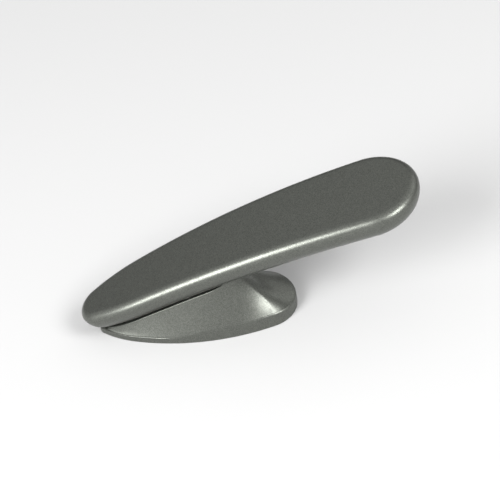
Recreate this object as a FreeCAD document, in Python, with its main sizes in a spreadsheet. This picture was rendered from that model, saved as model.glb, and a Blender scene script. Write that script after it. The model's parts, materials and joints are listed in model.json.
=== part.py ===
"""Lever handle for a window sash.

An arched teardrop lever turns on a leaning pivot that stands in a hollow teardrop base.
The axis leans towards the thin end of the base, so the steel tongue under the seat sinks
as it swings out of the side slot and draws the sash against its frame.

Row frame: origin on the mounting face midway between the two fixing holes, +X from the
thin end of the base towards the grip, +Y towards the frame side, where the tongue comes
out, and +Z away from the sash. Everything that turns is drawn in the pivot frame: its
origin is where the axis meets the underside of the lever, its x runs along the lever and
its z along the leaning axis.
"""
import FreeCAD, Part

import math
import os

import Sketcher
from FreeCAD import Placement, Rotation, Vector

DIMENSIONS = {
    # pivot frame
    "pivot_x": -2.7,
    "pivot_height": 14.1,
    "pivot_lean": 21.0,
    "running_gap": 0.4,
    # lever: radius of the arched underside, thickness, and distance from pivot to nose
    "arch_radius": 342.0,
    "arm_thickness": 8.9,
    "arm_top_round": 1.6,
    "arm_bottom_round": 5.8,
    "arm_low_plane": 9.0,
    "arm_high_plane": 10.0,
    "arm_low_ahead": 31.9,
    "arm_high_ahead": 33.7,
    "low_nose": 6.8,
    "low_nose_turn": 20.0,
    "low_shoulder": 64.8,
    "low_shoulder_turn": 5.5,
    "low_flank": 1119.0,
    "low_flank_turn": 1.9,
    "high_nose": 6.8,
    "high_nose_turn": 20.0,
    "high_shoulder": 64.8,
    "high_shoulder_turn": 5.5,
    "high_flank": 1212.0,
    "high_flank_turn": 1.9,
    # mounting outline of the base and the band above it
    "rim_x": -31.5,
    "rim_height": 3.0,
    "rim_round": 1.0,
    "rim_nose": 2.4,
    "rim_nose_turn": 41.0,
    "rim_shoulder": 31.2,
    "rim_shoulder_turn": 21.0,
    "rim_flank": 68.8,
    "rim_flank_turn": -15.0,
    # pedestal: four outlines that lean more and more towards the seat
    "foot_height": 1.4,
    "foot_inset": 0.3,
    "skirt_x": -30.8,
    "skirt_height": 1.9,
    "skirt_lean": 4.5,
    "skirt_nose": 2.4,
    "skirt_nose_turn": 40.0,
    "skirt_shoulder": 28.1,
    "skirt_shoulder_turn": 18.5,
    "skirt_flank": 82.0,
    "skirt_flank_turn": -7.0,
    "waist_x": -30.2,
    "waist_height": 2.8,
    "waist_lean": 7.5,
    "waist_nose": 2.6,
    "waist_nose_turn": 37.0,
    "waist_shoulder": 28.9,
    "waist_shoulder_turn": 19.0,
    "waist_flank": 75.2,
    "waist_flank_turn": -5.0,
    "seat_ahead": 29.1,
    "seat_nose": 3.3,
    "seat_nose_turn": 24.8,
    "seat_shoulder": 32.0,
    "seat_shoulder_turn": 7.0,
    "seat_flank": 472.0,
    "seat_flank_turn": 3.7,
    # hollow of the base
    "floor_x": -14.0,
    "floor_nose": 6.0,
    "floor_nose_turn": 25.0,
    "floor_shoulder": 30.0,
    "floor_shoulder_turn": 8.0,
    "floor_flank": 56.0,
    "floor_flank_turn": -14.0,
    "middle_x": -13.5,
    "middle_height": 3.7,
    "middle_lean": 12.0,
    "middle_nose": 6.0,
    "middle_nose_turn": 22.0,
    "middle_shoulder": 30.0,
    "middle_shoulder_turn": 7.0,
    "middle_flank": 70.0,
    "middle_flank_turn": -2.0,
    "roof_depth": 3.6,
    "roof_ahead": 10.0,
    "roof_nose": 5.5,
    "roof_nose_turn": 20.0,
    "roof_shoulder": 26.0,
    "roof_shoulder_turn": 5.0,
    "roof_flank": 120.0,
    "roof_flank_turn": 1.0,
    # side slot, pivot boss and stop rib, in the pivot frame
    "boss_radius": 7.2,
    "boss_depth": 5.0,
    "slot_front": 4.7,
    "slot_back": 15.6,
    "slot_inner": 3.0,
    "slot_outer": 16.0,
    "slot_top": 5.2,
    "slot_bottom": 10.0,
    "rib_front": 9.5,
    "rib_back": 13.5,
    "rib_near": 4.3,
    "rib_far": 7.2,
    "rib_bottom": 8.5,
    # fixings
    "fixing_spacing": 40.0,
    "fixing_core": 1.65,
    "fixing_depth": 5.2,
    "fixing_boss": 3.5,
    "fixing_clearance": 2.25,
    "plate_thickness": 1.0,
    "plate_ahead": 26.82,
    "plate_nose": 2.0,
    "plate_nose_turn": 33.9,
    "plate_shoulder": 28.2,
    "plate_shoulder_turn": 21.0,
    "plate_flank": 65.8,
    "plate_flank_turn": -15.0,
    "plate_boss": 2.6,
    "plate_boss_top": 5.8,
    "front_screw_x": -9.5,
    "side_screw_x": 9.5,
    "side_screw_y": -6.1,
    "plate_screw_head": 2.3,
    "plate_screw_shank": 1.2,
    "plate_screw_length": 5.0,
    # seal
    "seal_thickness": 0.8,
    "seal_outer_inset": 0.7,
    "seal_inner_inset": 2.1,
    # bush
    "bush_bore": 3.55,
    "bush_outer": 5.0,
    "bush_flange": 6.6,
    "bush_flange_top": 0.25,
    "bush_flange_bottom": 1.2,
    # spindle
    "journal": 3.5,
    "collar": 6.0,
    "collar_bottom": 0.15,
    "collar_top": 1.15,
    "square_half": 3.0,
    "square_top": 3.6,
    "neck_top": 6.3,
    "neck_bottom": 8.85,
    "neck_flat": 2.75,
    "spindle_bore": 2.15,
    "screw_radius": 1.95,
    "screw_hole": 2.0,
    "screw_tip": 7.4,
    "screw_hole_top": 7.9,
    "fit_gap": 0.05,
    # stack below the pivot boss
    "thrust_inner": 3.6,
    "thrust_outer": 6.2,
    "thrust_top": 5.05,
    "thrust_bottom": 5.55,
    "spring_outer": 6.1,
    "spring_top": 5.65,
    "spring_bottom": 6.25,
    "spring_sheet": 0.35,
    "tongue_top": 6.3,
    "tongue_bottom": 8.9,
    "tongue_hub": 6.4,
    "tongue_half": 3.2,
    "tongue_reach": 11.0,
    "cap_half": 4.0,
    "cap_start": 8.0,
    "cap_top": 5.6,
    "cap_bottom": 9.6,
    "cap_chamfer": 0.5,
    "washer_outer": 5.0,
    "washer_top": 8.95,
    "washer_bottom": 9.75,
    "head_radius": 3.4,
    "head_top": 9.8,
    "head_bottom": 11.8,
    "socket_radius": 1.45,
    "socket_depth": 1.3,
}

WIDE = 60.0  # half-size of the blocks that trim the lever and the base to their arches


def make_sheet():
    """The sheet of driving dimensions."""
    sheet = doc.addObject("Spreadsheet::Sheet", "dims")
    for row, (name, value) in enumerate(DIMENSIONS.items(), 1):
        sheet.set(f"A{row}", name)
        sheet.set(f"B{row}", str(value))
        sheet.setAlias(f"B{row}", name)
    doc.recompute()


def set_frame(thing, prop, axis, places, lean):
    """Bind a placement: places maps base coordinates to expressions, and lean turns it about axis."""
    setattr(thing, prop, Placement(Vector(), Rotation(axis, 1.0 if lean else 0.0)))
    for coordinate, expression in places.items():
        thing.setExpression(f"{prop}.Base.{coordinate}", expression)
    if lean:
        thing.setExpression(f"{prop}.Rotation.Angle", lean)


def make_body(label, on_pivot=True):
    """A body in the row frame, or one whose own frame is the pivot frame."""
    body = doc.addObject("PartDesign::Body", label)
    body.Label = label
    if on_pivot:
        places = {"x": "dims.pivot_x", "z": "dims.pivot_height"}
        set_frame(body, "Placement", Vector(0, -1, 0), places, "dims.pivot_lean")
    return body


def flat_sketch(body, name, x=None, height=None, lean=None):
    """A sketch on the body's XY plane, moved along X, raised, and leaned about the width."""
    places = {axis: value for axis, value in (("x", x), ("z", height)) if value}
    return attach(body, name, "XY_Plane", Vector(0, -1, 0), places, lean)


def side_sketch(body, name, x=None, height=None, lean=None):
    """A sketch on the body's XZ plane, whose own x and y are then X and Z."""
    places = {axis: value for axis, value in (("x", x), ("y", height)) if value}
    return attach(body, name, "XZ_Plane", Vector(0, 0, 1), places, lean)


def attach(body, name, role, axis, places, lean):
    """Attach a new sketch to one of the body's own origin planes."""
    sketch = body.newObject("Sketcher::SketchObject", f"{body.Label}_{name}")
    plane = next(item for item in body.Origin.OriginFeatures if item.Role == role)
    sketch.AttachmentSupport = [(plane, "")]
    sketch.MapMode = "FlatFace"
    set_frame(sketch, "AttachmentOffset", axis, places, lean)
    return sketch


def below_pivot(depth):
    """Keywords for a sketch in a row-frame body, on the plane that far below the pivot point."""
    return {
        "x": f"dims.pivot_x + ({depth}) * sin(dims.pivot_lean * 1deg)",
        "height": f"dims.pivot_height - ({depth}) * cos(dims.pivot_lean * 1deg)",
        "lean": "dims.pivot_lean",
    }


def drive(sketch, expression, kind, *parts):
    """Add a dimension and bind it to the sheet."""
    index = sketch.addConstraint(Sketcher.Constraint(kind, *parts))
    sketch.renameConstraint(index, f"size{index}")
    sketch.setExpression(f"Constraints.size{index}", expression)


def hold_point(sketch, geometry, end, x, y):
    """Fix one point of the sketch at two expressions, where None is on the axis."""
    if x is None:
        sketch.addConstraint(Sketcher.Constraint("PointOnObject", geometry, end, -2))
    else:
        drive(sketch, x, "DistanceX", geometry, end, 1.0)
    if y is None:
        sketch.addConstraint(Sketcher.Constraint("PointOnObject", geometry, end, -1))
    else:
        drive(sketch, y, "DistanceY", geometry, end, 1.0)


def add_polygon(sketch, corners):
    """A closed outline of straight edges through corners given as pairs of expressions."""
    count = len(corners)
    ring = [Rotation(Vector(0, 0, 1), 360.0 * i / count).multVec(Vector(5, 0, 0)) for i in range(count)]
    first = sketch.GeometryCount
    for i in range(count):
        sketch.addGeometry(Part.LineSegment(ring[i], ring[(i + 1) % count]), False)
    for i in range(count):
        follower = first + (i + 1) % count
        sketch.addConstraint(Sketcher.Constraint("Coincident", first + i, 2, follower, 1))
    for i, (x, y) in enumerate(corners):
        hold_point(sketch, first + i, 1, x, y)


def add_box(sketch, low_x, high_x, low_y, high_y):
    """A rectangle between four expressions."""
    add_polygon(sketch, [(low_x, low_y), (high_x, low_y), (high_x, high_y), (low_x, high_y)])


def add_circle(sketch, radius, x=None, y=None):
    """A circle, on the sketch's origin unless x or y says otherwise."""
    circle = sketch.addGeometry(Part.Circle(Vector(1, 1, 0), Vector(0, 0, 1), 1.0), False)
    drive(sketch, radius, "Radius", circle, 1.0)
    hold_point(sketch, circle, 3, x, y)


def arc(centre, radius, start, end):
    """An arc of a circle, counter-clockwise between two angles in degrees."""
    circle = Part.Circle(Vector(centre[0], centre[1], 0), Vector(0, 0, 1), radius)
    return Part.ArcOfCircle(circle, math.radians(start), math.radians(end))


def add_teardrop(sketch, key, inset=None):
    """A closed outline of six tangent arcs, symmetric about the sketch's x axis.

    The nose touches the origin. On each side a shoulder and a flank follow, and one arc
    closes the far end. KEY_nose_turn and its fellows are the headings, in degrees from
    the axis, where one arc ends and the next begins. An inset moves the outline inwards.
    """
    shrink = DIMENSIONS[inset] if inset else 0.0
    less = f" - dims.{inset}" if inset else ""
    nose, shoulder, flank = (DIMENSIONS[f"{key}_{part}"] for part in ("nose", "shoulder", "flank"))
    turns = [DIMENSIONS[f"{key}_{part}_turn"] for part in ("nose", "shoulder", "flank")]
    sines = [math.sin(math.radians(turn)) for turn in turns]
    cosines = [math.cos(math.radians(turn)) for turn in turns]
    # each centre lies on the line from the last one through the joint, which is normal to both arcs
    shoulder_centre = (nose + (shoulder - nose) * sines[0], -(shoulder - nose) * cosines[0])
    step = shoulder - flank
    flank_centre = (shoulder_centre[0] - step * sines[1], shoulder_centre[1] + step * cosines[1])
    tail = flank + flank_centre[1] / cosines[2]
    tail_centre = flank_centre[0] - (flank - tail) * sines[2]
    pieces = [
        arc((tail_centre, 0), tail - shrink, -90 - turns[2], 90 + turns[2]),
        arc(flank_centre, flank - shrink, 90 + turns[2], 90 + turns[1]),
        arc(shoulder_centre, shoulder - shrink, 90 + turns[1], 90 + turns[0]),
        arc((nose, 0), nose - shrink, 90 + turns[0], 270 - turns[0]),
        arc((shoulder_centre[0], -shoulder_centre[1]), shoulder - shrink, 270 - turns[0], 270 - turns[1]),
        arc((flank_centre[0], -flank_centre[1]), flank - shrink, 270 - turns[1], 270 - turns[2]),
    ]
    first = sketch.GeometryCount
    for piece in pieces:
        sketch.addGeometry(piece, False)
    far, left_flank, left, near, right, right_flank = range(first, first + 6)
    for i in range(6):
        sketch.addConstraint(Sketcher.Constraint("Tangent", first + i, 2, first + (i + 1) % 6, 1))
    sketch.addConstraint(Sketcher.Constraint("PointOnObject", far, 3, -1))
    hold_point(sketch, near, 3, f"dims.{key}_nose", None)
    drive(sketch, f"dims.{key}_nose{less}", "Radius", near, nose)
    drive(sketch, f"dims.{key}_shoulder{less}", "Radius", left, shoulder)
    drive(sketch, f"dims.{key}_flank{less}", "Radius", left_flank, flank)
    sketch.addConstraint(Sketcher.Constraint("Equal", left, right))
    sketch.addConstraint(Sketcher.Constraint("Equal", left_flank, right_flank))
    drive(sketch, f"180 - 2 * dims.{key}_nose_turn", "Angle", near, 1.0)
    shoulder_span = f"dims.{key}_nose_turn - dims.{key}_shoulder_turn"
    drive(sketch, shoulder_span, "Angle", left, 1.0)
    drive(sketch, shoulder_span, "Angle", right, 1.0)
    drive(sketch, f"dims.{key}_shoulder_turn - dims.{key}_flank_turn", "Angle", left_flank, 1.0)


def add_double_d(sketch, radius, flat, radius_value, flat_value):
    """A circle with two flats, parallel to the sketch's x axis."""
    angle = math.degrees(math.asin(flat_value / radius_value))
    half = radius_value * math.cos(math.radians(angle))
    first = sketch.GeometryCount
    sketch.addGeometry(arc((0, 0), radius_value, -angle, angle), False)
    sketch.addGeometry(Part.LineSegment(Vector(half, flat_value, 0), Vector(-half, flat_value, 0)), False)
    sketch.addGeometry(arc((0, 0), radius_value, 180 - angle, 180 + angle), False)
    sketch.addGeometry(Part.LineSegment(Vector(-half, -flat_value, 0), Vector(half, -flat_value, 0)), False)
    for i in range(4):
        sketch.addConstraint(Sketcher.Constraint("Coincident", first + i, 2, first + (i + 1) % 4, 1))
    for side, sign in ((first + 1, ""), (first + 3, "-")):
        sketch.addConstraint(Sketcher.Constraint("Horizontal", side))
        drive(sketch, f"{sign}({flat})", "DistanceY", side, 1, 1.0)
    for side in (first, first + 2):
        sketch.addConstraint(Sketcher.Constraint("Coincident", side, 3, -1, 1))
    drive(sketch, radius, "Radius", first, radius_value)
    sketch.addConstraint(Sketcher.Constraint("Equal", first, first + 2))


def add_finger(sketch, half, start, reach, half_value, start_value, reach_value):
    """A finger along the sketch's y axis with a round end, square where it starts."""
    first = sketch.GeometryCount
    left, right = -half_value, half_value
    sketch.addGeometry(arc((0, reach_value), half_value, 0, 180), False)
    for corners in (((left, reach_value), (left, start_value)), ((left, start_value), (right, start_value)),
                    ((right, start_value), (right, reach_value))):
        sketch.addGeometry(Part.LineSegment(*(Vector(x, y, 0) for x, y in corners)), False)
    for a, b in ((0, 1), (3, 0)):
        sketch.addConstraint(Sketcher.Constraint("Tangent", first + a, 2, first + b, 1))
    for a, b in ((1, 2), (2, 3)):
        sketch.addConstraint(Sketcher.Constraint("Coincident", first + a, 2, first + b, 1))
    sketch.addConstraint(Sketcher.Constraint("PointOnObject", first, 3, -2))
    drive(sketch, reach, "DistanceY", first, 3, reach_value)
    drive(sketch, half, "Radius", first, half_value)
    sketch.addConstraint(Sketcher.Constraint("Vertical", first + 1))
    sketch.addConstraint(Sketcher.Constraint("Vertical", first + 3))
    sketch.addConstraint(Sketcher.Constraint("Horizontal", first + 2))
    drive(sketch, start, "DistanceY", first + 2, 1, start_value)


def add_arch_block(sketch, rise, rise_value, up):
    """The region above, or below, the arch whose centre is arch_radius under the origin."""
    radius = DIMENSIONS["arch_radius"] + rise_value
    swing = math.degrees(math.asin(2 * WIDE / radius))
    edge = WIDE if up else -WIDE
    curve = arc((0, -DIMENSIONS["arch_radius"]), radius, 90 - swing, 90 + swing)
    right, left = curve.StartPoint, curve.EndPoint
    corners = [left, Vector(left.x, edge, 0), Vector(right.x, edge, 0), right]
    sketch.addGeometry(curve, False)
    for i in range(3):
        sketch.addGeometry(Part.LineSegment(corners[i], corners[i + 1]), False)
    for i in range(4):
        sketch.addConstraint(Sketcher.Constraint("Coincident", i, 2, (i + 1) % 4, 1))
    hold_point(sketch, 0, 3, None, "-dims.arch_radius")
    drive(sketch, f"dims.arch_radius + {rise}", "Radius", 0, radius)
    sketch.addConstraint(Sketcher.Constraint("Vertical", 1))
    sketch.addConstraint(Sketcher.Constraint("Horizontal", 2))
    sketch.addConstraint(Sketcher.Constraint("Vertical", 3))
    sketch.addConstraint(Sketcher.Constraint("DistanceX", 1, 1, -2 * WIDE))
    sketch.addConstraint(Sketcher.Constraint("DistanceX", 3, 1, 2 * WIDE))
    sketch.addConstraint(Sketcher.Constraint("DistanceY", 2, 1, edge))


def extrude(kind, body, sketch, length, reverse=False, both_ways=False):
    """A pad or pocket of the sketch. It must change the body's volume."""
    before = volume_of(body)
    feature = body.newObject(f"PartDesign::{kind}", f"{sketch.Name}_{kind.lower()}")
    feature.Profile = sketch
    feature.setExpression("Length", length)
    feature.Reversed = reverse
    feature.SideType = "Symmetric" if both_ways else "One side"
    body.Tip = feature
    doc.recompute()
    change = volume_of(body) - before
    if (change <= 0.0) == (kind == "Pad"):
        raise RuntimeError(f"{feature.Name} changed the volume by {change}")
    return feature


def volume_of(body):
    """Volume of the body so far."""
    return body.Shape.Volume if body.Tip else 0.0


def loft(kind, body, sketches, ruled=False):
    """An additive or subtractive loft through the sketches."""
    feature = body.newObject(f"PartDesign::{kind}Loft", f"{sketches[0].Name}_loft")
    feature.Profile = sketches[0]
    feature.Sections = sketches[1:]
    feature.Ruled = ruled
    body.Tip = feature
    doc.recompute()
    return feature


def round_edges(body, base, edges, radius):
    """Fillet the named edges of a feature."""
    feature = body.newObject("PartDesign::Fillet", f"{base.Name}_round")
    feature.Base = (base, edges)
    feature.setExpression("Radius", radius)
    body.Tip = feature
    doc.recompute()
    return feature


def edges_where(feature, test):
    """Names of the feature's edges for which the test holds."""
    return [f"Edge{i}" for i, edge in enumerate(feature.Shape.Edges, 1) if test(edge)]


def revolve(label, corners):
    """A turned piece: a closed profile of (radius, height) pairs about the pivot axis."""
    body = make_body(label)
    turn_profile(body, corners)
    return body


def turn_profile(body, corners):
    """Revolve a closed profile about the body's own z axis."""
    sketch = side_sketch(body, "profile")
    add_polygon(sketch, corners)
    feature = body.newObject("PartDesign::Revolution", f"{body.Label}_turned")
    feature.Profile = sketch
    feature.ReferenceAxis = (sketch, ["V_Axis"])
    feature.Angle = 360.0
    body.Tip = feature
    doc.recompute()


def make_ring(label, inner, outer, bottom, top):
    """A flat ring about the pivot axis."""
    return revolve(label, [(inner, bottom), (outer, bottom), (outer, top), (inner, top)])


def make_lever():
    """The arched teardrop arm, with the seat for the spindle's collar and square in its underside."""
    body = make_body("lever_arm")
    low = flat_sketch(body, "low", x="-dims.arm_low_ahead", height="-dims.arm_low_plane")
    add_teardrop(low, "low")
    high = flat_sketch(body, "high", x="-dims.arm_high_ahead", height="dims.arm_high_plane")
    add_teardrop(high, "high")
    loft("Additive", body, [low, high], ruled=True)
    for name, rise, value, up in (("above", "dims.arm_thickness", DIMENSIONS["arm_thickness"], True),
                                  ("below", "0", 0.0, False)):
        sketch = side_sketch(body, name)
        add_arch_block(sketch, rise, value, up)
        shaped = extrude("Pocket", body, sketch, f"{2 * WIDE}", both_ways=True)
    radius = DIMENSIONS["arch_radius"]
    thickness = DIMENSIONS["arm_thickness"]

    def height_in_arch(edge):
        """Height of the edge's middle above the arched underside."""
        middle = edge.valueAt((edge.FirstParameter + edge.LastParameter) / 2)
        return math.hypot(middle.x, middle.z + radius) - radius

    top = edges_where(shaped, lambda edge: abs(height_in_arch(edge) - thickness) < 0.05)
    shaped = round_edges(body, shaped, top, "dims.arm_top_round")
    bottom = edges_where(shaped, lambda edge: abs(height_in_arch(edge)) < 0.05)
    round_edges(body, shaped, bottom, "dims.arm_bottom_round")
    seat = flat_sketch(body, "collar_seat", height="-dims.collar_top")
    add_circle(seat, "dims.collar + 4 * dims.fit_gap")
    extrude("Pocket", body, seat, "2 * dims.collar_top + dims.fit_gap", reverse=True)
    square = flat_sketch(body, "square_seat", height="-dims.collar_top")
    side = "(dims.square_half + dims.fit_gap)"
    add_box(square, f"-{side}", side, f"-{side}", side)
    extrude("Pocket", body, square, "dims.collar_top + dims.square_top + 2 * dims.fit_gap", reverse=True)
    hole = flat_sketch(body, "screw_hole", height="-dims.collar_top")
    add_circle(hole, "dims.screw_hole")
    extrude("Pocket", body, hole, "dims.collar_top + dims.screw_hole_top", reverse=True)


def make_housing():
    """The hollow die-cast base: rim, pedestal, leaning seat, bosses, side slot and holes."""
    body = make_body("base_housing", on_pivot=False)
    rim = flat_sketch(body, "rim", x="dims.rim_x")
    add_teardrop(rim, "rim")
    band = extrude("Pad", body, rim, "dims.rim_height")
    top = edges_where(band, lambda edge: edge.BoundBox.ZMin > DIMENSIONS["rim_height"] - 0.01)
    round_edges(body, band, top, "dims.rim_round")
    foot = flat_sketch(body, "foot", x="dims.rim_x", height="dims.foot_height")
    add_teardrop(foot, "rim", inset="foot_inset")
    sections = [foot]
    for key in ("skirt", "waist"):
        section = flat_sketch(body, key, f"dims.{key}_x", f"dims.{key}_height", f"dims.{key}_lean")
        add_teardrop(section, key)
        sections.append(section)
    seat = flat_sketch(body, "seat", **seat_end("dims.seat_ahead", "-dims.running_gap"))
    add_teardrop(seat, "seat")
    loft("Additive", body, sections + [seat])
    trim = side_sketch(body, "seat_arch", x="dims.pivot_x", height="dims.pivot_height", lean="dims.pivot_lean")
    add_arch_block(trim, "-dims.running_gap", -DIMENSIONS["running_gap"], up=True)
    extrude("Pocket", body, trim, f"{2 * WIDE}", both_ways=True)
    hollow_housing(body)
    add_bosses(body)
    cut_housing_holes(body)


def seat_end(ahead, depth):
    """Keywords for a sketch whose origin is that far ahead of the pivot on a plane below it."""
    return {
        "x": f"dims.pivot_x + ({depth}) * sin(dims.pivot_lean * 1deg) - {ahead} * cos(dims.pivot_lean * 1deg)",
        "height": f"dims.pivot_height - ({depth}) * cos(dims.pivot_lean * 1deg)"
                  f" - {ahead} * sin(dims.pivot_lean * 1deg)",
        "lean": "dims.pivot_lean",
    }


def hollow_housing(body):
    """The hollow under the seat that the tongue swings in."""
    floor = flat_sketch(body, "floor", x="dims.floor_x")
    add_teardrop(floor, "floor")
    middle = flat_sketch(body, "middle", "dims.middle_x", "dims.middle_height", "dims.middle_lean")
    add_teardrop(middle, "middle")
    roof = flat_sketch(body, "roof", **seat_end("dims.roof_ahead", "dims.roof_depth"))
    add_teardrop(roof, "roof")
    loft("Subtractive", body, [floor, middle, roof])


def add_bosses(body):
    """Pivot boss, stop rib, rear fixing boss and the two bosses for the plate's screws."""
    pivot = flat_sketch(body, "pivot_boss", **below_pivot("dims.boss_depth"))
    add_circle(pivot, "dims.boss_radius")
    extrude("Pad", body, pivot, "dims.boss_depth - 2 * dims.running_gap")
    rib = flat_sketch(body, "stop_rib", **below_pivot("dims.rib_bottom"))
    add_box(rib, "dims.rib_front", "dims.rib_back", "-dims.rib_far", "-dims.rib_near")
    extrude("Pad", body, rib, "dims.rib_bottom - dims.roof_depth + dims.running_gap")
    for name, radius, x, y, top in (
        ("rear_boss", "dims.fixing_boss", "dims.fixing_spacing / 2", None, "dims.plate_boss_top"),
        ("front_screw_boss", "dims.plate_boss", "dims.front_screw_x", None, "dims.plate_boss_top + 2.5"),
        ("side_screw_boss", "dims.plate_boss", "dims.side_screw_x", "dims.side_screw_y", "dims.plate_boss_top"),
    ):
        boss = flat_sketch(body, name)
        add_circle(boss, radius, x, y)
        extrude("Pad", body, boss, top)


def cut_housing_holes(body):
    """Recesses for the seal and plate, the bush's seat, the tongue's slot and the screw holes."""
    groove = flat_sketch(body, "seal_groove", x="dims.rim_x")
    add_teardrop(groove, "rim", inset="seal_outer_inset")
    add_teardrop(groove, "rim", inset="seal_inner_inset")
    extrude("Pocket", body, groove, "dims.seal_thickness", reverse=True)
    recess = flat_sketch(body, "plate_recess", x="-dims.plate_ahead")
    add_teardrop(recess, "plate")
    extrude("Pocket", body, recess, "dims.plate_thickness", reverse=True)
    bore = flat_sketch(body, "bush_bore", **below_pivot("2 * dims.boss_depth"))
    add_circle(bore, "dims.bush_outer")
    extrude("Pocket", body, bore, "2 * dims.boss_depth + 1", reverse=True)
    flange = flat_sketch(body, "bush_flange_seat", **below_pivot("dims.bush_flange_bottom"))
    add_circle(flange, "dims.bush_flange + dims.fit_gap")
    extrude("Pocket", body, flange, "2 * dims.bush_flange_bottom", reverse=True)
    slot = flat_sketch(body, "tongue_slot", **below_pivot("dims.slot_bottom"))
    add_box(slot, "-dims.slot_front", "dims.slot_back", "dims.slot_inner", "dims.slot_outer")
    extrude("Pocket", body, slot, "dims.slot_bottom - dims.slot_top", reverse=True)
    fixings = flat_sketch(body, "fixing_holes")
    add_fixing_circles(fixings, "dims.fixing_core")
    extrude("Pocket", body, fixings, "dims.fixing_depth", reverse=True)
    screws = flat_sketch(body, "plate_screw_holes")
    add_screw_circles(screws, "dims.plate_screw_shank")
    extrude("Pocket", body, screws, "dims.plate_screw_length + 4 * dims.fit_gap", reverse=True)


def add_fixing_circles(sketch, radius):
    """Circles on the two fixing holes."""
    for sign in ("-", ""):
        add_circle(sketch, radius, f"{sign}dims.fixing_spacing / 2", None)


def add_screw_circles(sketch, radius):
    """Circles on the two screws that hold the plate."""
    add_circle(sketch, radius, "dims.front_screw_x", None)
    add_circle(sketch, radius, "dims.side_screw_x", "dims.side_screw_y")


def make_plate():
    """Steel plate that closes the hollow, with two clear holes and two countersinks."""
    body = make_body("back_plate", on_pivot=False)
    outline = flat_sketch(body, "outline", x="-dims.plate_ahead")
    add_teardrop(outline, "plate")
    extrude("Pad", body, outline, "dims.plate_thickness")
    holes = flat_sketch(body, "fixing_holes")
    add_fixing_circles(holes, "dims.fixing_clearance")
    extrude("Pocket", body, holes, "dims.plate_thickness", reverse=True)
    screws = flat_sketch(body, "screw_holes")
    add_screw_circles(screws, "dims.plate_screw_shank")
    extrude("Pocket", body, screws, "dims.plate_thickness", reverse=True)
    sinks = flat_sketch(body, "countersinks")
    add_screw_circles(sinks, "dims.plate_screw_head")
    cones = extrude("Pocket", body, sinks, "dims.plate_thickness - dims.fit_gap", reverse=True)
    spread = "dims.plate_screw_head - dims.plate_screw_shank"
    cones.setExpression("TaperAngle", f"-atan(({spread}) / (dims.plate_thickness - dims.fit_gap))")
    doc.recompute()


def make_plate_screws():
    """Two countersunk screws, flush with the mounting face."""
    screws = []
    for name, x, y in (("front", "dims.front_screw_x", "0"), ("side", "dims.side_screw_x", "dims.side_screw_y")):
        body = make_body(f"{name}_plate_screw", on_pivot=False)
        turn_profile(body, [
            (None, None),
            ("dims.plate_screw_head", None),
            ("dims.plate_screw_shank", "dims.plate_thickness - dims.fit_gap"),
            ("dims.plate_screw_shank", "dims.plate_screw_length"),
            (None, "dims.plate_screw_length"),
        ])
        set_frame(body, "Placement", Vector(0, 0, 1), {"x": x, "y": y}, None)
        screws.append(body)
    group = doc.addObject("Part::Compound", "plate_screws")
    group.Label = "plate_screws"
    group.Links = screws


def make_seal():
    """Rubber seal that fills the groove round the mounting face."""
    body = make_body("base_gasket", on_pivot=False)
    outline = flat_sketch(body, "outline", x="dims.rim_x")
    add_teardrop(outline, "rim", inset="seal_outer_inset")
    add_teardrop(outline, "rim", inset="seal_inner_inset")
    extrude("Pad", body, outline, "dims.seal_thickness")


def make_spindle():
    """Steel spindle: collar and square above, journal in the bush, flats for the tongue below."""
    body = revolve("pivot_spindle", [
        (None, "-dims.neck_top"),
        ("dims.journal", "-dims.neck_top"),
        ("dims.journal", "dims.collar_bottom"),
        ("dims.collar", "dims.collar_bottom"),
        ("dims.collar", "dims.collar_top"),
        (None, "dims.collar_top"),
    ])
    square = flat_sketch(body, "square", height="dims.collar_top")
    add_box(square, "-dims.square_half", "dims.square_half", "-dims.square_half", "dims.square_half")
    extrude("Pad", body, square, "dims.square_top - dims.collar_top")
    neck = flat_sketch(body, "neck", height="-dims.neck_bottom")
    add_double_d(neck, "dims.journal", "dims.neck_flat", DIMENSIONS["journal"], DIMENSIONS["neck_flat"])
    extrude("Pad", body, neck, "dims.neck_bottom - dims.neck_top")
    bore = flat_sketch(body, "bore", height="-dims.neck_bottom")
    add_circle(bore, "dims.spindle_bore")
    extrude("Pocket", body, bore, "dims.neck_bottom + dims.square_top", reverse=True)


def make_turned_pieces():
    """Bush, thrust washer, disc spring, plain washer and the screw that holds the stack."""
    revolve("pivot_bush", [
        ("dims.bush_bore", "-dims.boss_depth"),
        ("dims.bush_outer", "-dims.boss_depth"),
        ("dims.bush_outer", "-dims.bush_flange_bottom"),
        ("dims.bush_flange", "-dims.bush_flange_bottom"),
        ("dims.bush_flange", "-dims.bush_flange_top"),
        ("dims.bush_bore", "-dims.bush_flange_top"),
    ])
    make_ring("thrust_washer", "dims.thrust_inner", "dims.thrust_outer", "-dims.thrust_bottom", "-dims.thrust_top")
    revolve("disc_spring", [
        ("dims.thrust_inner", "-dims.spring_bottom"),
        ("dims.spring_outer", "-dims.spring_top - dims.spring_sheet"),
        ("dims.spring_outer", "-dims.spring_top"),
        ("dims.thrust_inner", "-dims.spring_bottom + dims.spring_sheet"),
    ])
    make_ring("plain_washer", "dims.spindle_bore", "dims.washer_outer", "-dims.washer_bottom", "-dims.washer_top")
    screw = revolve("spindle_screw", [
        (None, "-dims.head_bottom"),
        ("dims.head_radius", "-dims.head_bottom"),
        ("dims.head_radius", "-dims.head_top"),
        ("dims.screw_radius", "-dims.head_top"),
        ("dims.screw_radius", "dims.screw_tip"),
        (None, "dims.screw_tip"),
    ])
    socket = flat_sketch(screw, "socket", height="-dims.head_bottom")
    half, side = "dims.socket_radius / 2", "dims.socket_radius * sqrt(3) / 2"
    add_polygon(socket, [
        ("dims.socket_radius", None), (half, side), (f"-{half}", side),
        ("-dims.socket_radius", None), (f"-{half}", f"-{side}"), (half, f"-{side}"),
    ])
    extrude("Pocket", screw, socket, "dims.socket_depth", reverse=True)


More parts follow.
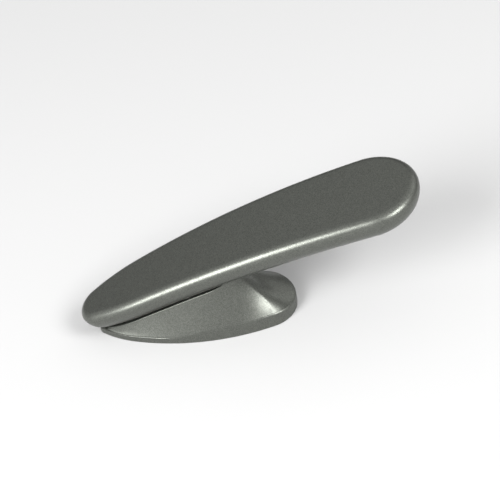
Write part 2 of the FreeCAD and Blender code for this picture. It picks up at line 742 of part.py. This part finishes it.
def make_tongue():
    """Steel tongue, keyed on the spindle's flats, and the nylon cap on its end."""
    body = make_body("tongue")
    arm = flat_sketch(body, "arm", height="-dims.tongue_bottom")
    values = (DIMENSIONS["tongue_half"], 0.0, DIMENSIONS["tongue_reach"])
    add_finger(arm, "dims.tongue_half", "0", "dims.tongue_reach", *values)
    extrude("Pad", body, arm, "dims.tongue_bottom - dims.tongue_top")
    hub = flat_sketch(body, "hub", height="-dims.tongue_bottom")
    add_circle(hub, "dims.tongue_hub")
    extrude("Pad", body, hub, "dims.tongue_bottom - dims.tongue_top")
    key = flat_sketch(body, "key", height="-dims.tongue_bottom")
    gap = DIMENSIONS["fit_gap"]
    add_double_d(key, "dims.journal + dims.fit_gap", "dims.neck_flat + dims.fit_gap",
                 DIMENSIONS["journal"] + gap, DIMENSIONS["neck_flat"] + gap)
    extrude("Pocket", body, key, "dims.tongue_bottom - dims.tongue_top", reverse=True)

    cap = make_body("tongue_cap")
    outside = flat_sketch(cap, "outside", height="-dims.cap_bottom")
    values = (DIMENSIONS["cap_half"], DIMENSIONS["cap_start"], DIMENSIONS["tongue_reach"])
    add_finger(outside, "dims.cap_half", "dims.cap_start", "dims.tongue_reach", *values)
    block = extrude("Pad", cap, outside, "dims.cap_bottom - dims.cap_top")
    far_edges = edges_where(block, lambda edge: is_flat_outline(edge) and not at_cap_start(edge))
    chamfer = cap.newObject("PartDesign::Chamfer", "tongue_cap_lead")
    chamfer.Base = (block, far_edges)
    chamfer.setExpression("Size", "dims.cap_chamfer")
    cap.Tip = chamfer
    doc.recompute()
    pocket = flat_sketch(cap, "inside", height="-dims.tongue_bottom")
    values = (DIMENSIONS["tongue_half"], 0.0, DIMENSIONS["tongue_reach"])
    add_finger(pocket, "dims.tongue_half", "0", "dims.tongue_reach", *values)
    extrude("Pocket", cap, pocket, "dims.tongue_bottom - dims.tongue_top", reverse=True)


def is_flat_outline(edge):
    """True for an edge that lies across the pivot axis."""
    return edge.BoundBox.ZLength < 0.01


def at_cap_start(edge):
    """True for an edge at the open end of the cap."""
    return edge.BoundBox.YMax < DIMENSIONS["cap_start"] + 0.01


NODES = [
    "base_housing", "back_plate", "plate_screws", "base_gasket", "pivot_bush", "thrust_washer",
    "lever_arm", "pivot_spindle", "disc_spring", "tongue", "tongue_cap", "plain_washer", "spindle_screw",
]


def write_parts():
    """Check every object and write one file per node."""
    broken = [item.Name for item in doc.Objects if {"Invalid", "Error"} & set(item.State)]
    if broken:
        raise RuntimeError(f"failed objects: {broken}")
    os.makedirs("parts", exist_ok=True)
    for label in NODES:
        shape = doc.getObjectsByLabel(label)[0].Shape
        if shape.isNull() or not shape.isValid() or not shape.Solids:
            raise RuntimeError(f"{label} has no valid solid")
        shape.exportStep(f"parts/{label}.step")
        print(label, len(shape.Solids), round(shape.Volume, 1))


doc = FreeCAD.newDocument("window_handle")
make_sheet()
make_lever()
make_housing()
make_plate()
make_plate_screws()
make_seal()
make_spindle()
make_turned_pieces()
make_tongue()
doc.recompute()
write_parts()
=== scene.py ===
"""The looks of the window handle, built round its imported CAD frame.

The cast lever and base are remade here as dense meshes with the same dimensions as in the
CAD, so that their long soft highlights run without facets, and the plate's screws get their
sockets. The other nodes keep their CAD meshes. Lengths are in millimetres until the last
step, where a mesh goes to metres.
"""

import json
import math

import bmesh
import bpy
import numpy as np
from mathutils import Matrix, Vector


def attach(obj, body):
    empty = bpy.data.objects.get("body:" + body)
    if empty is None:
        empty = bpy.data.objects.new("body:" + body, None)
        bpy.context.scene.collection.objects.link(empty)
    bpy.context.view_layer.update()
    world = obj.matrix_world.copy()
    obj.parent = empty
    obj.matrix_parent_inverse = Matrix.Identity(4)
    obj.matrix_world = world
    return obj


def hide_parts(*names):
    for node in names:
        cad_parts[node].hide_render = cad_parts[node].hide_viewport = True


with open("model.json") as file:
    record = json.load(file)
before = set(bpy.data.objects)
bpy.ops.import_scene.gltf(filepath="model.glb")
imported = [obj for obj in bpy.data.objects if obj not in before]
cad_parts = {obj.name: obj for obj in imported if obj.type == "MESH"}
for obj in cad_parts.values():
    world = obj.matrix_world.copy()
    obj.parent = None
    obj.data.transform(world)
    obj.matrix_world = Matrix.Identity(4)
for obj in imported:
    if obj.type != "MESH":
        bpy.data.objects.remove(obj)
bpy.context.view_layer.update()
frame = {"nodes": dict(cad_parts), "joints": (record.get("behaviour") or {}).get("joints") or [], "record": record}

MM = 0.001

# ---- pivot frame: x along the lever, z along the leaning axis ----
JOINT = frame["joints"][0]
PIVOT = np.array(JOINT["pos_m"]) / MM
AXIS = -np.array(JOINT["axis"]) / np.linalg.norm(JOINT["axis"])
ALONG = np.cross((0.0, 1.0, 0.0), AXIS)
ARCH = 342.0          # radius of the lever's underside, whose centre is below the pivot

# ---- lever ----
THICKNESS = 8.9
LEVER = dict(nose=6.84, nose_turn=20.0, shoulder=64.8, shoulder_turn=5.56, flank=1117.0, flank_turn=1.88)
NOSE_TO_PIVOT = 32.65  # along the underside
TOP_ROUND = 2.5
BOTTOM_ROUND = 6.5

# ---- base ----
TIP_X = -31.5
RIM = dict(nose=2.4, nose_turn=41.0, shoulder=31.2, shoulder_turn=21.0, flank=68.8, flank_turn=-15.0)
SEAT = dict(nose=3.52, nose_turn=24.8, shoulder=32.6, shoulder_turn=7.0, flank=472.0, flank_turn=4.0)
SEAT_AHEAD = 29.31
SEAT_SHIFT = np.radians((20, -15))
RUNNING_GAP = 0.4
SEAT_ROUND = 0.25
PLATE = dict(nose=2.0, nose_turn=33.9, shoulder=28.2, shoulder_turn=21.0, flank=65.8, flank_turn=-15.0)
PLATE_TIP_X = -26.82

# ---- hollow of the base: outlines of its floor, middle and roof ----
FLOOR = dict(nose=6.0, nose_turn=25.0, shoulder=30.0, shoulder_turn=8.0, flank=56.0, flank_turn=-14.0)
MIDDLE = dict(nose=6.0, nose_turn=22.0, shoulder=30.0, shoulder_turn=7.0, flank=70.0, flank_turn=-2.0)
ROOF = dict(nose=5.5, nose_turn=20.0, shoulder=26.0, shoulder_turn=5.0, flank=120.0, flank_turn=1.0)
FIXINGS = ((-20.0, 0.0), (20.0, 0.0))
PLATE_SCREWS = ((-9.5, 0.0), (9.5, -6.1))

# ---- radii and depths of what is cut ----
COLLAR_SEAT, COLLAR_DEPTH = 6.2, 1.2
SQUARE_HALF, SQUARE_DEPTH = 3.05, 3.7
LEVER_HOLE, LEVER_HOLE_DEPTH = 2.0, 7.9
BUSH_BORE, FLANGE_SEAT, FLANGE_DEPTH = 5.0, 6.65, 1.2
PIVOT_BOSS, FIXING_BOSS, SCREW_BOSS = 7.2, 3.5, 2.6
FIXING_HOLE, SCREW_HOLE, HOLE_DEPTH = 1.65, 1.2, 5.2
GROOVE_OUTER, GROOVE_INNER, GROOVE_DEPTH = 0.7, 2.1, 0.8
PLATE_DEPTH = 1.0
SHARP_EDGE = math.radians(32)

ARC_STEPS = (14, 22, 60, 40)      # points on the nose, shoulder, flank and tail of a half outline


def half_outline(nose, nose_turn, shoulder, shoulder_turn, flank, flank_turn, density=1):
    """One side of a teardrop, from the nose at x = 0 to the far end: points and outward normals."""
    turns = (90.0, nose_turn, shoulder_turn, flank_turn, -90.0)
    start = np.zeros(2)
    points, normals = [], []
    for i, steps in enumerate(ARC_STEPS):
        heading = np.radians(np.linspace(turns[i], turns[i + 1], steps * density, endpoint=i == 3))
        out = np.stack([-np.sin(heading), np.cos(heading)], 1)
        first = np.array([-math.sin(math.radians(turns[i])), math.cos(math.radians(turns[i]))])
        radius = (nose, shoulder, flank)[i] if i < 3 else start[1] / math.cos(math.radians(flank_turn))
        centre = start - radius * first
        points.append(centre + radius * out)
        normals.append(out)
        last = math.radians(turns[i + 1])
        start = centre + radius * np.array([-math.sin(last), math.cos(last)])
    points, normals = np.vstack(points), np.vstack(normals)
    points[[0, -1], 1] = 0.0
    return points, normals


def whole(half):
    """A closed ring from a half outline's 3-D points: the other side mirrors it in y."""
    return np.vstack([half, (half * (1, -1, 1))[-2:0:-1]])


def skin(rings, across):
    """A closed mesh through half rings: walls between them, and strips across the first and last."""
    mesh = bmesh.new()
    count = len(rings[0])
    layers = [[mesh.verts.new(p) for p in whole(ring)] for ring in rings]
    size = len(layers[0])
    for low, high in zip(layers, layers[1:]):
        for i in range(size):
            j = (i + 1) % size
            mesh.faces.new((low[i], high[i], high[j], low[j]))
    for layer, ring, flip in ((layers[0], rings[0], False), (layers[-1], rings[-1], True)):
        rows = []
        for i in range(count):
            left, right = layer[i], layer[-i % size]
            if i in (0, count - 1):
                rows.append([left])
                continue
            inner = [mesh.verts.new(across_point(ring, i, 1 - 2 * k / across)) for k in range(1, across)]
            rows.append([left, *inner, right])
        for a, b in zip(rows, rows[1:]):
            for k in range(max(len(a), len(b)) - 1):
                corners = [a[min(k, len(a) - 1)], b[min(k, len(b) - 1)],
                           b[min(k + 1, len(b) - 1)], a[min(k + 1, len(a) - 1)]]
                corners = list(dict.fromkeys(corners))
                mesh.faces.new(corners if flip else corners[::-1])
    bmesh.ops.recalc_face_normals(mesh, faces=mesh.faces)
    return mesh


def across_point(ring, i, share):
    """A point on the strip across a half ring at station i: share 1 is this side and -1 the other."""
    return ring[i] * (1, share, 1)


def pivot_place(along, width, up):
    """Row-frame points from pivot-frame ones."""
    along, width, up = np.broadcast_arrays(along, width, up)
    return PIVOT + along[:, None] * ALONG + width[:, None] * (0, 1, 0) + up[:, None] * AXIS


# ---- cutting ----

def teardrop(outline, tip_x=0.0, inset=0.0):
    """A closed ring of 2-D points, from its tip at that x."""
    points, normals = half_outline(**outline)
    half = points - normals * inset + (tip_x, 0.0)
    return np.vstack([half, (half * (1, -1))[-2:0:-1]])


def circle(radius, x=0.0, y=0.0, steps=96):
    """A ring of 2-D points on a circle."""
    angle = np.linspace(0, 2 * np.pi, steps, endpoint=False)
    return np.stack([x + radius * np.cos(angle), y + radius * np.sin(angle)], 1)


def rectangle(low_x, high_x, low_y, high_y):
    """The four corners of a rectangle."""
    return np.array(((low_x, low_y), (high_x, low_y), (high_x, high_y), (low_x, high_y)), float)


def flat(points, height):
    """2-D points at a height above the mounting face."""
    return np.column_stack([points, np.full(len(points), height)])


def leaning(points, up):
    """2-D points on a plane square to the pivot, that far above it."""
    return pivot_place(points[:, 0], points[:, 1], up)


def loft(*rings):
    """A closed mesh through whole rings."""
    mesh = bmesh.new()
    layers = [[mesh.verts.new(p) for p in ring] for ring in rings]
    for low, high in zip(layers, layers[1:]):
        for i in range(len(low)):
            mesh.faces.new((low[i - 1], low[i], high[i], high[i - 1]))
    mesh.faces.new(layers[0])
    mesh.faces.new(layers[-1])
    bmesh.ops.recalc_face_normals(mesh, faces=mesh.faces)
    return mesh


def prism(place, points, low, high):
    """A straight solid over an outline, between two heights."""
    return loft(place(points, low), place(points, high))


def cut(mesh, *tools):
    """The first mesh with the others taken out of it."""
    work = []
    for part in (mesh, *tools):
        data = bpy.data.meshes.new("work")
        part.to_mesh(data)
        part.free()
        work.append(bpy.data.objects.new("work", data))
        bpy.context.collection.objects.link(work[-1])
    for tool in work[1:]:
        modifier = work[0].modifiers.new("cut", "BOOLEAN")
        modifier.operation = "DIFFERENCE"
        modifier.solver = "EXACT"
        modifier.object = tool
    bpy.context.view_layer.update()
    shaped = work[0].evaluated_get(bpy.context.evaluated_depsgraph_get())
    result = bmesh.new()
    result.from_mesh(shaped.to_mesh())
    shaped.to_mesh_clear()
    for piece in work:
        data = piece.data
        bpy.data.objects.remove(piece)
        bpy.data.meshes.remove(data)
    return result


def add_object(name, mesh, material, body):
    """A scene object from a bmesh in millimetres."""
    for face in mesh.faces:
        face.smooth = True
    for edge in mesh.edges:
        edge.smooth = len(edge.link_faces) == 2 and edge.calc_face_angle() < SHARP_EDGE
    data = bpy.data.meshes.new(name)
    bmesh.ops.scale(mesh, vec=(MM, MM, MM), verts=mesh.verts)
    mesh.to_mesh(data)
    mesh.free()
    data.materials.append(material)
    piece = bpy.data.objects.new(name, data)
    bpy.context.collection.objects.link(piece)
    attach(piece, body)
    return piece


# ---- lever ----

def lever_ring(inset, height):
    """A ring round the lever, that far in from its outline and that far above its underside."""
    points, normals = half_outline(**LEVER)
    points = points - normals * inset
    angle = (points[:, 0] - NOSE_TO_PIVOT) / ARCH
    radius = ARCH + height
    return pivot_place(radius * np.sin(angle), points[:, 1], radius * np.cos(angle) - ARCH)


def make_lever(material):
    """The arched arm: a small round on its top edge and a large one underneath."""
    rings = []
    for angle in np.radians(np.linspace(90, 0, 22)):
        rings.append(lever_ring(BOTTOM_ROUND * (1 - math.cos(angle)), BOTTOM_ROUND * (1 - math.sin(angle))))
    for angle in np.radians(np.linspace(0, 90, 14)):
        height = THICKNESS - TOP_ROUND * (1 - math.sin(angle))
        rings.append(lever_ring(TOP_ROUND * (1 - math.cos(angle)), height))
    square = rectangle(-SQUARE_HALF, SQUARE_HALF, -SQUARE_HALF, SQUARE_HALF)
    seats = [prism(leaning, circle(COLLAR_SEAT), -2.0, COLLAR_DEPTH),
             prism(leaning, square, -2.0, SQUARE_DEPTH),
             prism(leaning, circle(LEVER_HOLE), -2.0, LEVER_HOLE_DEPTH)]
    piece = add_object("lever_body", cut(skin(rings, across=24), *seats), material, "lever")
    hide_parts("lever_arm")
    return piece


# ---- base ----

def along_rim(x, *values):
    """A value that changes along the base, given at these distances from its tip."""
    return np.interp(x, (0, 7, 15, 22, 27, 32, 40, 47, 53, 57, 60), values)


def spread(x):
    """Station angle of each point of a half outline: 0 at its nose and pi at its far end."""
    return np.arccos(np.clip(1 - 2 * x / x.max(), -1, 1))


def seat_ring(inset, drop):
    """A ring of the seat, on an arch that runs parallel to the lever's underside.

    Its stations are moved along its outline, so that each lies straight up the wall from the rim's.
    """
    stations = spread(half_outline(**RIM)[0][:, 0])
    stations = stations + SEAT_SHIFT[0] * np.sin(stations) + SEAT_SHIFT[1] * np.sin(2 * stations)
    points, normals = half_outline(**SEAT, density=8)
    known = spread(points[:, 0])
    points, normals = (np.column_stack([np.interp(stations, known, part[:, i]) for i in (0, 1)])
                       for part in (points, normals))
    points = points - normals * inset
    along = points[:, 0] - SEAT_AHEAD
    radius = ARCH - RUNNING_GAP
    return pivot_place(along, points[:, 1], np.sqrt(radius**2 - along**2) - ARCH - drop)


def hollow():
    """The space under the seat, round its bosses and stop rib."""
    middle = teardrop(MIDDLE)
    lean = math.radians(12)
    tip = np.array((-13.5, 0.0, 3.7))
    low = flat(teardrop(FLOOR, -14.0), 0.0)
    half_way = tip + np.stack([middle[:, 0] * math.cos(lean), middle[:, 1], middle[:, 0] * math.sin(lean)], 1)
    high = leaning(teardrop(ROOF, -10.0), -3.6)
    rings = [low - (0, 0, 1)]
    for t in np.linspace(0, 1, 11):
        rings.append((1 - t) * (1 - 2 * t) * low + 4 * t * (1 - t) * half_way + t * (2 * t - 1) * high)
    return cut(loft(*rings),
               prism(leaning, circle(PIVOT_BOSS), -5.0, -0.8),
               prism(leaning, rectangle(9.5, 13.5, -7.2, -4.3), -8.5, -3.2),
               prism(flat, circle(FIXING_BOSS, *FIXINGS[1]), -2.0, 5.8),
               prism(flat, circle(SCREW_BOSS, *PLATE_SCREWS[0]), -2.0, 8.3),
               prism(flat, circle(SCREW_BOSS, *PLATE_SCREWS[1]), -2.0, 5.8))


def cut_base(mesh):
    """Take out the hollow, the seal's groove, the plate's recess, the bush's seat, the slot and the holes."""
    groove = cut(prism(flat, teardrop(RIM, TIP_X, GROOVE_OUTER), -1.0, GROOVE_DEPTH),
                 prism(flat, teardrop(RIM, TIP_X, GROOVE_INNER), -2.0, 2.0))
    tools = [hollow(), groove,
             prism(flat, teardrop(PLATE, PLATE_TIP_X), -1.0, PLATE_DEPTH),
             prism(leaning, circle(BUSH_BORE), -10.0, 1.0),
             prism(leaning, circle(FLANGE_SEAT), -FLANGE_DEPTH, FLANGE_DEPTH),
             prism(leaning, rectangle(-4.7, 15.6, 3.0, 16.0), -10.0, -5.2)]
    tools += [prism(flat, circle(FIXING_HOLE, *place, 48), -1.0, HOLE_DEPTH) for place in FIXINGS]
    tools += [prism(flat, circle(SCREW_HOLE, *place, 48), -1.0, HOLE_DEPTH) for place in PLATE_SCREWS]
    return cut(mesh, *tools)


def make_base(material):
    """The base's outer skin: an upright rim, and a wall that flares more and more towards the grip."""
    points, normals = half_outline(**RIM)
    x = points[:, 0]
    # heights and radii in mm and angles in degrees, at the stations of along_rim
    edge_height = along_rim(x, 1.6, 1.9, 2.1, 2.0, 3.0, 4.4, 4.95, 4.8, 4.8, 4.4, 4.0)
    edge_round = along_rim(x, 0.15, 0.15, 0.15, 0.2, 0.4, 0.7, 0.8, 0.9, 0.9, 0.9, 0.9)
    edge_sweep = np.radians(along_rim(x, 85, 80, 68, 34, 23, 25, 30, 42, 55, 61, 66))
    foot_slope = np.radians(along_rim(x, 1, 57, 63, 66, 67, 66, 62, 52, 39, 30, 24))
    set_in = along_rim(x, 0.12, 0.12, 0.09, 0.02, 0.0, 0.0, 0.0, 0.0, 0.0, 0.0, 0.0)

    def rim_ring(inset, height):
        """A ring of the rim: each station has its own inset and height."""
        flat = points - normals * np.reshape(inset, (-1, 1))
        return np.column_stack([flat[:, 0] + TIP_X, flat[:, 1], np.broadcast_to(height, len(flat))])

    top = seat_ring(0.0, SEAT_ROUND)
    rings = [rim_ring(0.0, 0.0), rim_ring(0.0, (edge_height - edge_round) / 2)]
    for share in np.linspace(0, 1, 8):
        angle = share * edge_sweep
        rings.append(rim_ring(edge_round * (1 - np.cos(angle)), edge_height - edge_round * (1 - np.sin(angle))))
    chord = top - rings[-1]
    inward = chord[:, :2] / np.linalg.norm(chord[:, :2], axis=1)[:, None]
    for rise in (0.04, 0.14):
        rings.append(rings[-1] + np.column_stack([inward * set_in[:, None], np.full(len(x), rise)]))
        set_in = 0 * set_in
    foot = rings[-1]
    chord = top - foot
    span = np.linalg.norm(chord, axis=1)[:, None]
    slope = np.arctan2(chord[:, 2], np.linalg.norm(chord[:, :2], axis=1))
    top_slope = slope + np.radians(along_rim(x, 0, 2, 2, 2, 2, 4, 7, 12, 18, 22, 24))

    def climb(angle, towards):
        """Unit vectors that climb at an angle, each over its own horizontal direction."""
        return np.column_stack([towards * np.cos(angle)[:, None], np.sin(angle)])

    reach = along_rim(x, 0.33, 0.33, 0.33, 0.33, 0.33, 0.33, 0.34, 0.37, 0.4, 0.42, 0.42)
    low = foot + climb(foot_slope, -normals) * span * reach[:, None]
    high = top - climb(top_slope, inward) * span * 0.36
    for t in np.linspace(0, 1, 30)[1:]:
        rings.append(foot * (1 - t)**3 + 3 * low * t * (1 - t)**2 + 3 * high * t**2 * (1 - t) + top * t**3)
    for angle in np.radians(np.linspace(0, 90, 6))[1:]:
        rings.append(seat_ring(SEAT_ROUND * (1 - math.cos(angle)), SEAT_ROUND * (1 - math.sin(angle))))
    piece = add_object("base_body", cut_base(skin(rings, across=16)), material, "base")
    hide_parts("base_housing")
    return piece


def make_plate_screws(material):
    """The plate's two countersunk screws, each with a hexagonal drive socket."""
    piece_mesh = bmesh.new()
    for x, y in PLATE_SCREWS:
        profile = ((2.3, 0.0), (2.3, 0.1), (1.2, 1.2), (1.2, 5.0))
        screw = loft(*(flat(circle(radius, x, y, 64), height) for radius, height in profile))
        screw = cut(screw, prism(flat, circle(1.0, x, y, 6), -1.0, 1.0))
        data = bpy.data.meshes.new("screw")
        screw.to_mesh(data)
        screw.free()
        piece_mesh.from_mesh(data)
        bpy.data.meshes.remove(data)
    piece = add_object("plate_screw_pair", piece_mesh, material, "base")
    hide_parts("plate_screws")


# ---- materials ----

def new_material(name, **inputs):
    """A Principled material with its constants set on the shader's own sockets."""
    material = bpy.data.materials.new(name)
    material.use_nodes = True
    shader = material.node_tree.nodes["Principled BSDF"]
    for socket, value in inputs.items():
        shader.inputs[socket.replace("_", " ")].default_value = value
    return material, material.node_tree, shader


def textured(tree, kind, scale, **inputs):
    """A texture node in object coordinates, with a scale per millimetre."""
    place = tree.nodes.new("ShaderNodeTexCoord")
    texture = tree.nodes.new(kind)
    tree.links.new(place.outputs["Object"], texture.inputs["Vector"])
    texture.inputs["Scale"].default_value = scale / MM
    for socket, value in inputs.items():
        texture.inputs[socket].default_value = value
    return texture


def ramp(tree, source, low, high, start=0.0, end=1.0):
    """A colour ramp between two grey or colour values."""
    node = tree.nodes.new("ShaderNodeValToRGB")
    tree.links.new(source, node.inputs["Fac"])
    for element, value, place in zip(node.color_ramp.elements, (low, high), (start, end)):
        element.color = (*value, 1.0) if isinstance(value, tuple) else (value, value, value, 1.0)
        element.position = place
    return node.outputs["Color"]


def add_bump(tree, shader, source, strength, distance):
    """Fine relief, with its height in millimetres."""
    bump = tree.nodes.new("ShaderNodeBump")
    bump.inputs["Strength"].default_value = strength
    bump.inputs["Distance"].default_value = distance * MM
    tree.links.new(source, bump.inputs["Height"])
    tree.links.new(bump.outputs["Normal"], shader.inputs["Normal"])
    return bump


def graphite_lacquer():
    """Graphite metallic lacquer: fine bright flakes in a grey-green coat with a soft sheen."""
    material, tree, shader = new_material("graphite_lacquer", Metallic=0.87, Roughness=0.36)
    flakes = textured(tree, "ShaderNodeTexVoronoi", 5.5)
    sparkle = ramp(tree, flakes.outputs["Color"], (0.098, 0.103, 0.092), (0.175, 0.182, 0.164), 0.1, 0.95)
    tree.links.new(sparkle, shader.inputs["Base Color"])
    grain = textured(tree, "ShaderNodeTexNoise", 4.0, Detail=3.0, Roughness=0.6)
    tree.links.new(ramp(tree, grain.outputs["Fac"], 0.30, 0.42, 0.3, 0.7), shader.inputs["Roughness"])
    add_bump(tree, shader, grain.outputs["Fac"], 0.35, 0.02)
    return material


def zinc_steel():
    """Zinc-plated steel with faint cloudy spangle."""
    material, tree, shader = new_material("zinc_steel", Metallic=1.0, Roughness=0.3)
    cloud = textured(tree, "ShaderNodeTexNoise", 0.6, Detail=5.0)
    tree.links.new(ramp(tree, cloud.outputs["Fac"], (0.46, 0.47, 0.49), (0.62, 0.62, 0.62), 0.3, 0.7),
                   shader.inputs["Base Color"])
    tree.links.new(ramp(tree, cloud.outputs["Fac"], 0.24, 0.42, 0.3, 0.7), shader.inputs["Roughness"])
    return material


def moulded(name, dark, light, rough):
    """A moulded plastic or rubber with a fine grain."""
    material, tree, shader = new_material(name, Roughness=rough)
    grain = textured(tree, "ShaderNodeTexNoise", 3.0, Detail=4.0)
    tree.links.new(ramp(tree, grain.outputs["Fac"], dark, light, 0.3, 0.7), shader.inputs["Base Color"])
    add_bump(tree, shader, grain.outputs["Fac"], 0.3, 0.02)
    return material


# ---- scene ----

AIM = Vector((16.57, 11.33, 12.45)) * MM
DISTANCE = 525.7 * MM
AZIMUTH, ELEVATION, ROLL = 3.64, 42.0, -10.95
LENS, SENSOR = 126.0, 36.0


def add_camera():
    """The camera, at the picture's angle, with a small roll."""
    azimuth, elevation = math.radians(AZIMUTH), math.radians(ELEVATION)
    back = Vector((math.sin(azimuth) * math.cos(elevation), -math.cos(azimuth) * math.cos(elevation),
                   math.sin(elevation)))
    right = Vector((math.cos(azimuth), math.sin(azimuth), 0))
    up = back.cross(right)
    roll = math.radians(ROLL)
    right, up = right * math.cos(roll) + up * math.sin(roll), up * math.cos(roll) - right * math.sin(roll)
    data = bpy.data.cameras.new("camera")
    data.lens, data.sensor_width = LENS, SENSOR
    data.clip_start, data.clip_end = 0.01, 20
    camera = bpy.data.objects.new("camera", data)
    turn = Matrix((right, up, back)).transposed().to_4x4()
    camera.matrix_world = Matrix.Translation(AIM + back * DISTANCE) @ turn
    bpy.context.collection.objects.link(camera)
    bpy.context.scene.camera = camera


def add_softbox(name, place, size, power):
    """A rectangular light aimed at the object, with its place in metres."""
    data = bpy.data.lights.new(name, "AREA")
    data.shape = "RECTANGLE"
    data.size, data.size_y = size
    data.energy = power
    light = bpy.data.objects.new(name, data)
    light.location = place
    light.rotation_mode = "QUATERNION"
    light.rotation_quaternion = (Vector(place) - AIM).to_track_quat("Z", "Y")
    bpy.context.collection.objects.link(light)


def add_stage():
    """A pale floor under the base, a surround that is brighter above and in front, and the softboxes."""
    material, _, shader = new_material("pale_floor", Roughness=0.9)
    shader.inputs["Base Color"].default_value = (0.48, 0.48, 0.48, 1)
    bpy.ops.mesh.primitive_plane_add(size=6.0, location=(0, 0, -0.0002))
    floor = bpy.context.object
    floor.name = "floor"
    floor.data.materials.append(material)
    world = bpy.data.worlds.new("surround")
    bpy.context.scene.world = world
    world.use_nodes = True
    tree = world.node_tree
    background = tree.nodes["Background"]
    place = tree.nodes.new("ShaderNodeTexCoord")
    facing = tree.nodes.new("ShaderNodeVectorMath")
    facing.operation = "DOT_PRODUCT"
    facing.inputs[1].default_value = (0, -0.6, 0.8)
    tree.links.new(place.outputs["Generated"], facing.inputs[0])
    grade = tree.nodes.new("ShaderNodeMapRange")
    for socket, value in (("From Min", -0.3), ("From Max", 0.3), ("To Min", 0.13), ("To Max", 0.8)):
        grade.inputs[socket].default_value = value
    tree.links.new(facing.outputs["Value"], grade.inputs["Value"])
    tree.links.new(grade.outputs["Result"], background.inputs["Color"])
    add_softbox("left", Vector((-0.56, -0.58, 0.58)), (0.42, 0.62), 13)
    add_softbox("right", Vector((0.55, -0.45, 0.7)), (0.42, 0.4), 8)
    add_softbox("back", Vector((0.62, 0.55, 0.5)), (0.5, 0.5), 0.6)


def dress(materials):
    """Give each CAD node that still shows its material, through its own slots."""
    finish = {entry["node"]: entry["material_slot"] for entry in frame["record"]["subparts"]}
    for node, piece in frame["nodes"].items():
        piece.data.materials.clear()
        piece.data.materials.append(materials[finish[node]])


materials = {
    "die_cast": graphite_lacquer(),
    "steel": zinc_steel(),
    "nylon": moulded("black_nylon", 0.012, 0.03, 0.5),
    "acetal": moulded("white_acetal", 0.62, 0.75, 0.4),
    "rubber": moulded("black_rubber", 0.01, 0.02, 0.8),
}
dress(materials)
make_lever(materials["die_cast"])
make_base(materials["die_cast"])
make_plate_screws(materials["steel"])
add_camera()
add_stage()
scene = bpy.context.scene
scene.view_settings.view_transform = "Standard"
